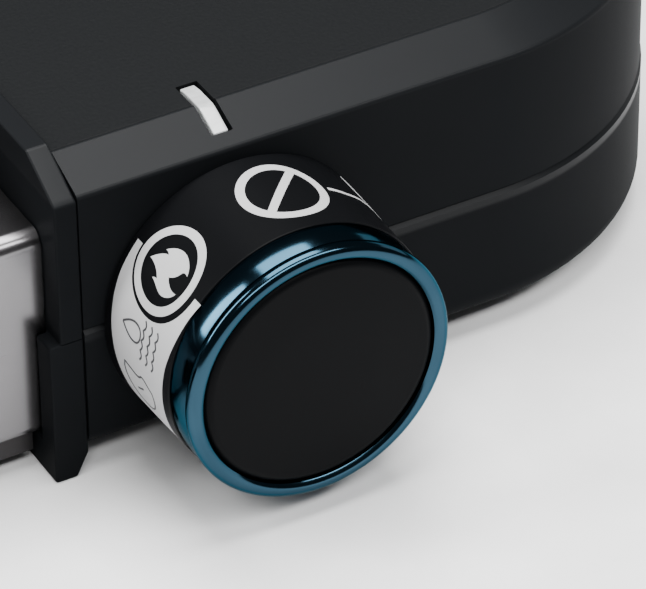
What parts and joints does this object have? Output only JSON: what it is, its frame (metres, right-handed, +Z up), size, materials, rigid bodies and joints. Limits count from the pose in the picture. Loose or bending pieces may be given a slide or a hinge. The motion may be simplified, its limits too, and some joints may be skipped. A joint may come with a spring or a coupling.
{
  "type": "electric griddle",
  "caption": "Tabletop electric griddle: flat cooking plate on a stainless base, front knob on a round-cornered control housing, end cap and drip tray.",
  "frame": {"origin": "middle of the footprint on the surface it stands on", "axes": "+X to the user's right along the front, where the control housing is; +Y to the back; +Z up; the knob faces -Y"},
  "size_m": [0.6068, 0.336, 0.0835],
  "materials": {
    "graphite_plastic": "satin moulded graphite grey",
    "grained_plastic": "matte fine leather grain, graphite",
    "soft_black": "matte soft-touch black",
    "chrome_trim": "polished, faintly blue",
    "stainless": "polished stainless sheet with a faint brush",
    "plated_steel": "zinc-plated sheet and fasteners",
    "nonstick_cast": "die-cast with matte black non-stick coating",
    "element_sheath": "dark oxidised heater sheath",
    "clear_plastic": "clear light guide",
    "rubber_black": "matte rubber",
    "board_green": "printed circuit board",
    "cream_plastic": "heat-resistant moulding",
    "blue_plastic": "relay case",
    "silicone": "silicone-sleeved wire"
  },
  "bodies": {
    "base": {"housing_upper": "graphite_plastic", "housing_lower": "graphite_plastic", "housing_panel": "grained_plastic", "light_pipe": "clear_plastic", "housing_screw_1": "plated_steel", "housing_screw_2": "plated_steel", "housing_foot_1": "rubber_black", "housing_foot_2": "rubber_black", "selector_switch": "cream_plastic", "selector_nut": "plated_steel", "control_board": "board_green", "board_screw_1": "plated_steel", "board_screw_2": "plated_steel", "indicator_led": "clear_plastic", "relay": "blue_plastic", "terminal_block": "cream_plastic", "heat_shield": "plated_steel", "cord_gland": "rubber_black", "lead_mains": "silicone", "lead_heater_rear": "silicone", "lead_heater_front": "silicone", "side_frame_right": "graphite_plastic", "right_frame_bolt_1": "plated_steel", "right_frame_bolt_2": "plated_steel", "side_frame_left": "graphite_plastic", "left_frame_bolt_1": "plated_steel", "left_frame_bolt_2": "plated_steel", "base_shell": "stainless", "base_pan": "plated_steel", "heat_reflector": "plated_steel", "heating_element": "element_sheath", "element_rest_front": "plated_steel", "element_rest_rear": "plated_steel", "element_rest_left": "plated_steel", "thermal_fuse": "cream_plastic", "sensor_sleeve": "plated_steel", "sensor_spring": "plated_steel", "cap_upper": "graphite_plastic", "cap_lower": "graphite_plastic", "cap_panel": "grained_plastic", "cap_screw_1": "plated_steel", "cap_screw_2": "plated_steel", "cap_foot_1": "rubber_black", "cap_foot_2": "rubber_black"},
    "knob": {"knob_barrel": "graphite_plastic", "knob_ring": "chrome_trim", "knob_cap": "soft_black", "knob_shaft": "plated_steel"},
    "tray": {"drip_tray": "stainless", "tray_wall_left": "stainless", "tray_wall_right": "stainless", "tray_wall_front": "stainless", "tray_wall_back": "stainless", "tray_front": "graphite_plastic"},
    "plate": {"griddle_plate": "nonstick_cast"},
    "sensor": {"sensor_plunger": "plated_steel"}
  },
  "joints": [
    {"name": "knob_turn", "type": "hinge", "parent": "base", "child": "knob", "pos_m": [0.16269, -0.12745, 0.03987], "axis": [0, 1, 0], "range_deg": [0, 300]},
    {"name": "tray_slide", "type": "slide", "parent": "base", "child": "tray", "axis": [0, -1, 0], "range_m": [0, 0.15]},
    {"name": "plate_lift", "type": "slide", "parent": "base", "child": "plate", "axis": [0, 0, 1], "range_m": [0, 0.1]},
    {"name": "sensor_press", "type": "slide", "parent": "base", "child": "sensor", "axis": [0, 0, -1], "range_m": [0, 0.003], "stiffness_N_per_m": 300, "springref_m": -0.002, "deforming": ["sensor_spring"]}
  ]
}
